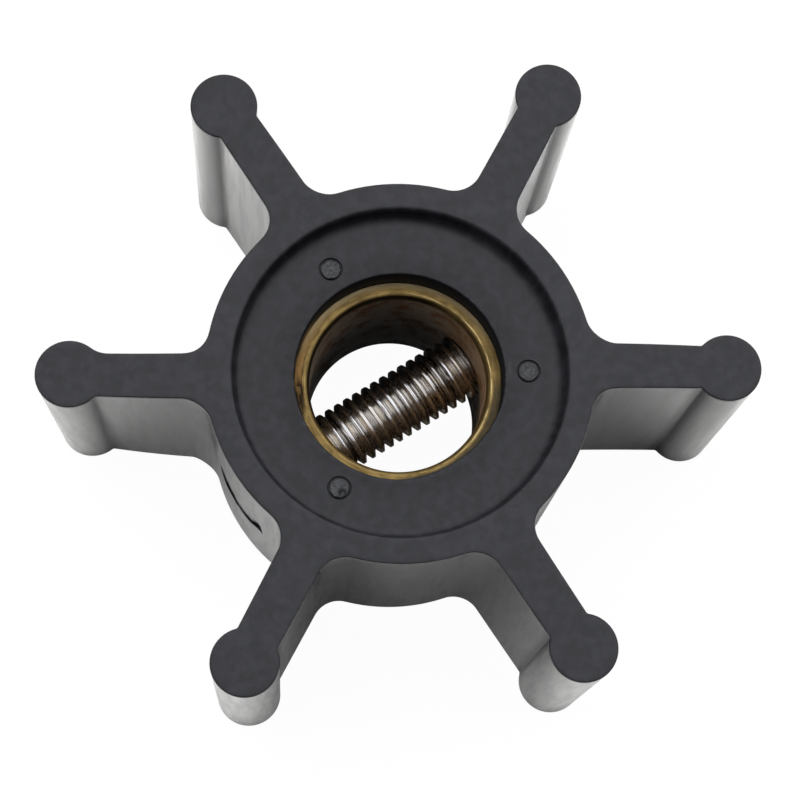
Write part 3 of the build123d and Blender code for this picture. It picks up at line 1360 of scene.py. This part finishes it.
@dataclass
class HubBush:
    """The turned brass bush, chamfered, relieved inside and drilled across for the screw."""

    bore_radius: float = 6.35
    chamfer: float = 0.25
    relief_depth: float = 0.2
    relief_half: float = 3.0
    relief_taper: float = 1.3
    edge: float = 0.04
    border: float = 0.2
    lower_border: float = 0.06
    end_border: float = 1.0
    mouth_edge: tuple[Flat, ...] = (
        (0.13, 0.0), (0.08, 0.007), (0.04, 0.024), (-0.04, 0.07), (-0.09, 0.11), (-0.13, 0.16),
        (-0.155, 0.22), (-0.2, 0.4), (-0.235, 0.6), (-0.25, 0.8), (-0.25, 1.0))
    skin_drop: float = 0.6
    drill_reach: float = 20.0
    steps: int = 288
    sharp: float = 30.0
    finish: BrassFinish = field(default_factory=BrassFinish)
    skin: BoreFinish = field(default_factory=BoreFinish)

    def __post_init__(self) -> None:
        """Takes the outside from the CAD node."""
        low, high = node_size("hub_bush")
        self.radius = high.x
        self.bottom = low.z
        self.top = high.z

    def profile(self, screw_height: float) -> list[Flat]:
        """Gives the section of the wall as radii and heights.

        Args:
            screw_height: The height of the drive screw, round which the bore is relieved.

        Returns:
            The section's points, in order.
        """
        bore = self.bore_radius
        wide = bore + self.relief_depth
        mouth = bore + self.chamfer
        high = screw_height + self.relief_half
        low = screw_height - self.relief_half
        foot = self.bottom + self.chamfer
        points = [(self.radius, self.bottom + self.edge), (self.radius, self.bottom + self.end_border)]
        points += [(self.radius, self.top - self.end_border), (self.radius, self.top - self.edge)]
        points += [(self.radius - self.edge, self.top), (self.radius - self.border, self.top)]
        points += [(mouth + step, self.top - drop) for step, drop in self.mouth_edge]
        points += [(bore, high + self.border), (bore, high), (wide, high - self.relief_taper)]
        points += [(wide, low + self.relief_taper), (bore, low), (bore, low - self.border)]
        points += [(bore, foot + self.border), (bore, foot)]
        points += [(mouth, self.bottom), (mouth + self.lower_border, self.bottom)]
        points += [(self.radius - self.border, self.bottom), (self.radius - self.edge, self.bottom)]
        return points

    def build(self, screw: "DriveScrew") -> Object:
        """Builds the bush.

        Args:
            screw: The screw that crosses it.

        Returns:
            The finished piece.
        """
        shell = Shell()
        profile = self.profile(screw.middle.z)
        shell.rows([ring(radius, height, self.steps) for radius, height in profile + profile[:1]])
        piece = shell.build("turned_bush", self.sharp)
        cut(piece, screw.space(self.drill_reach), self.sharp)
        piece.data.materials.append(self.finish.material(self.bore_radius))
        piece.data.materials.append(self.skin.material())
        for face in piece.data.polygons:
            centre = face.center / MM
            if centre.xy.length < self.bore_radius + self.chamfer and centre.z < self.top - self.skin_drop:
                face.material_index = 1
        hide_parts("hub_bush")
        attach(piece, "root")
        return piece


@dataclass
class DriveScrew:
    """The threaded steel screw across the bore, slotted at the end that faces the slit."""

    bearing: float = 210.0
    length: float = 16.0
    radius: float = 2.45
    clearance: float = 0.05
    end_clearance: float = 0.3
    pitch: float = 0.8
    thread_depth: float = 0.48
    # The first half of one turn of the thread's section, as shares of the pitch and of the depth
    thread: tuple[Flat, ...] = (
        (0.0, 0.0), (0.12, 0.0), (0.155, 0.02), (0.18, 0.07), (0.205, 0.15), (0.445, 0.9), (0.468, 0.965),
        (0.49, 1.0))
    end_chamfer: float = 0.5
    slot_width: float = 0.8
    slot_depth: float = 1.1
    cutter_half: float = 3.0
    cutter_margin: float = 1.0
    columns: int = 96
    sharp: float = 38.0
    finish: SteelFinish = field(default_factory=SteelFinish)

    def __post_init__(self) -> None:
        """Takes the middle from the CAD node, and the directions from the bearing."""
        low, high = node_size("drive_screw")
        self.middle = (low + high) / 2
        self.along = polar(1.0, self.bearing)
        self.across = UP.cross(self.along)

    def put(self, radius: float, column: int, way: float) -> Point:
        """Gives a point round the screw.

        Args:
            radius: The distance from the screw's axis.
            column: Which column round it the point stands in.
            way: The distance along it from its middle.

        Returns:
            The point in the shared frame.
        """
        angle = TURN * column / self.columns
        spoke = self.across * math.cos(angle) + UP * math.sin(angle)
        return tuple(self.middle + spoke * radius + self.along * way)

    def circle(self, radius: float, way: float) -> list[Point]:
        """Gives a circle round the screw, at a distance along it from its middle."""
        return [self.put(radius, column, way) for column in range(self.columns)]

    def space(self, reach: float) -> Object:
        """Makes the space of the screw's hole: a plain round bar that reaches this far each way."""
        return bar("screw_space", [self.circle(self.radius + self.clearance, way) for way in (-reach, reach)])

    def build(self) -> Object:
        """Builds the screw.

        Returns:
            The finished piece.
        """
        half = self.length / 2
        turns = round(self.length / self.pitch)
        section = list(self.thread) + [(1.0 - part, depth) for part, depth in reversed(self.thread[1:])]
        shell = Shell()
        for turn in range(-1, turns + 1):
            for part, depth in section:
                way = -half + (turn + part) * self.pitch
                shell.points += [self.thread_point(way, depth, column) for column in range(self.columns)]
        lead = len(section)
        last = (turns + 2) * lead - 1
        for row in range(last):
            for column in range(self.columns):
                # The last column joins the first one a pitch further on
                wraps = column + 1 == self.columns
                beside = 0 if wraps else column + 1
                ahead = row + lead if wraps else row
                near, far = (min(level, last) * self.columns + beside for level in (ahead, ahead + 1))
                face = (row * self.columns + column, near, far, (row + 1) * self.columns + column)
                shell.faces.append(tuple(dict.fromkeys(face)))
        for end in (-half, half):
            shell.cap(self.circle(self.radius - self.end_chamfer, end))
        piece = shell.build("threaded_screw", self.sharp)
        cut(piece, self.driver_slot(), self.sharp)
        root = self.radius - self.thread_depth
        steel = self.finish.material(self.middle, self.along, self.pitch, root, self.radius)
        piece.data.materials.append(steel)
        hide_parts("drive_screw")
        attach(piece, "root")
        return piece

    def thread_point(self, way: float, depth: float, column: int) -> Point:
        """Gives one point of the thread's surface.

        Args:
            way: Its distance along the screw, before it is moved along by the turn.
            depth: Its share of the thread's depth.
            column: Which column it stands in.

        Returns:
            The point.
        """
        half = self.length / 2
        moved = min(max(way + self.pitch * column / self.columns, -half), half)
        end_radius = self.radius - self.end_chamfer + (half - abs(moved))
        return self.put(min(self.radius - depth * self.thread_depth, end_radius), column, moved)

    def driver_slot(self) -> Object:
        """Makes the space of the driver slot.

        Returns:
            The space.
        """
        half = self.length / 2
        deep = self.across * self.cutter_half
        wide = UP * (self.slot_width / 2)
        corners = ((-1, -1), (1, -1), (1, 1), (-1, 1))
        rows = []
        for way in (half - self.slot_depth, half + self.cutter_margin):
            middle = self.middle + self.along * way
            rows.append([tuple(middle + deep * x + wide * y) for x, y in corners])
        return bar("slot_space", rows)


@dataclass(frozen=True)
class Studio:
    """A white floor and backdrop, lit softly from behind and from both sides."""

    floor_size: float = 900.0
    floor_drop: float = 0.02
    floor_colour: Colour = (0.83, 0.823, 0.81, 1.0)
    camera_share: float = 0.97
    mirror_share: float = 0.06
    ambient: float = 0.04
    brightest: Point = (0.25, 0.45, 0.857)
    brightness: float = 1.13
    sky: Colour = (0.965, 0.975, 1.04, 1.0)
    falloff: float = 3.0
    lamp_distance: float = 400.0
    lamp_size: float = 220.0
    # Each lamp's name, its bearing and its rise over the floor in degrees, and its power in watts
    lamps: tuple[tuple[str, float, float, float], ...] = (
        ("right_back_low", 45.0, 20.0, 1.55), ("right_back_high", 45.0, 68.0, 0.52),
        ("right", 0.0, 45.0, 0.62), ("left_back_low", 135.0, 20.0, 0.93),
        ("left_back_high", 135.0, 68.0, 1.19), ("left", 180.0, 45.0, 0.6),
        ("left_front_low", 225.0, 20.0, 0.38))

    def rays(self, graph: Graph) -> tuple[Socket, Socket]:
        """Tells what a surface or the world is seen by.

        Args:
            graph: The graph to use.

        Returns:
            Whether it is the camera, and whether it is a mirror or glass.
        """
        rays = graph.add("LightPath").outputs
        mirror = graph.math("MAXIMUM", rays["Is Glossy Ray"], rays["Is Transmission Ray"])
        return rays["Is Camera Ray"], mirror

    def floor(self) -> Object:
        """Lays the floor just under the object.

        Returns:
            The floor.
        """
        half = self.floor_size / 2 * MM
        mesh = bpy.data.meshes.new("floor")
        corners = [(-half, -half, 0.0), (half, -half, 0.0), (half, half, 0.0), (-half, half, 0.0)]
        mesh.from_pydata(corners, [], [(0, 1, 2, 3)])
        piece = bpy.data.objects.new("floor", mesh)
        piece.location.z = -self.floor_drop * MM
        bpy.context.collection.objects.link(piece)
        material = bpy.data.materials.new("white_floor")
        graph = Graph(material)
        camera, mirror = self.rays(graph)
        seen = graph.product(camera, self.camera_share)
        share = graph.math("MAXIMUM", graph.product(mirror, self.mirror_share), seen)
        matt = graph.add("BsdfDiffuse", {"Color": self.floor_colour})
        white = graph.add("Emission", {"Color": WHITE, "Strength": 1.0})
        graph.surface(graph.mix(share, matt, white))
        mesh.materials.append(material)
        return piece

    def world(self) -> None:
        """Makes the world white to the camera, a tinted sky to mirrors, and faint as light.

        The sky is brightest in one direction, and dims away from it.
        """
        world = bpy.data.worlds.new("studio")
        bpy.context.scene.world = world
        graph = Graph(world)
        camera, mirror = self.rays(graph)
        way = graph.add("TexCoord").outputs["Generated"]
        toward = graph.vector("DOT_PRODUCT", way, self.brightest)
        near = graph.math("MAXIMUM", graph.product(graph.math("ADD", toward, 1.0), 0.5), 0.0)
        level = graph.product(graph.math("POWER", near, self.falloff), self.brightness)
        lit = graph.product(mirror, graph.math("SUBTRACT", level, self.ambient))
        strength = graph.math("MAXIMUM", graph.math("ADD", lit, self.ambient), camera)
        colour = graph.blend(camera, self.sky, WHITE)
        graph.surface(graph.add("Background", {"Color": colour, "Strength": strength}), "OutputWorld")

    def lamp(self, name: str, bearing: float, rise: float, power: float) -> None:
        """Hangs a square area lamp that faces the object, and that mirrors don't show.

        Args:
            name: The lamp's name.
            bearing: Its bearing, in degrees.
            rise: How high it stands over the floor, in degrees.
            power: Its power in watts.
        """
        data = bpy.data.lights.new(name, "AREA")
        data.shape = "SQUARE"
        data.size = self.lamp_size * MM
        data.energy = power
        piece = bpy.data.objects.new(name, data)
        level = self.lamp_distance * math.cos(math.radians(rise))
        place = polar(level, bearing, self.lamp_distance * math.sin(math.radians(rise)))
        piece.location = place * MM
        piece.rotation_euler = place.to_track_quat("Z", "Y").to_euler()
        piece.visible_glossy = False
        bpy.context.collection.objects.link(piece)

    def build(self) -> None:
        """Sets up the floor, the world, the lamps and the view."""
        self.floor()
        self.world()
        for lamp in self.lamps:
            self.lamp(*lamp)
        bpy.context.scene.view_settings.view_transform = "Standard"


@dataclass(frozen=True)
class ProductCamera:
    """The photograph's view, from above and a little to the front."""

    tilt: float = 12.935
    azimuth: float = -14.470
    roll: float = 12.226
    distance: float = 189.818
    aim: Point = (1.11067, 2.77088, 0.0)
    lens: float = 107.83
    sensor: float = 36.0
    clip_start: float = 1.0

    def build(self) -> Object:
        """Puts the camera in place and makes it the scene's own.

        Returns:
            The camera.
        """
        data = bpy.data.cameras.new("product_camera")
        data.lens = self.lens
        data.sensor_width = self.sensor
        data.clip_start = self.clip_start * MM
        piece = bpy.data.objects.new("product_camera", data)
        turn = Matrix.Identity(4)
        for degrees, axis in ((self.azimuth, "Z"), (self.tilt, "X"), (self.roll, "Z")):
            turn = turn @ Matrix.Rotation(math.radians(degrees), 4, axis)
        place = Vector(self.aim) + turn @ UP * self.distance
        piece.matrix_world = Matrix.Translation(place * MM) @ turn
        bpy.context.collection.objects.link(piece)
        bpy.context.scene.camera = piece
        return piece


def main() -> None:
    """Builds the pieces, the studio and the camera in order."""
    logging.basicConfig(level=logging.INFO, format="%(name)s: %(message)s")
    screw = DriveScrew()
    for piece in (ImpellerBody().build(screw), HubBush().build(screw), screw.build()):
        log.info("%s has %d faces", piece.name, len(piece.data.polygons))
    Studio().build()
    ProductCamera().build()
    log.info("studio and camera are set")


if __name__ == "__main__":
    main()
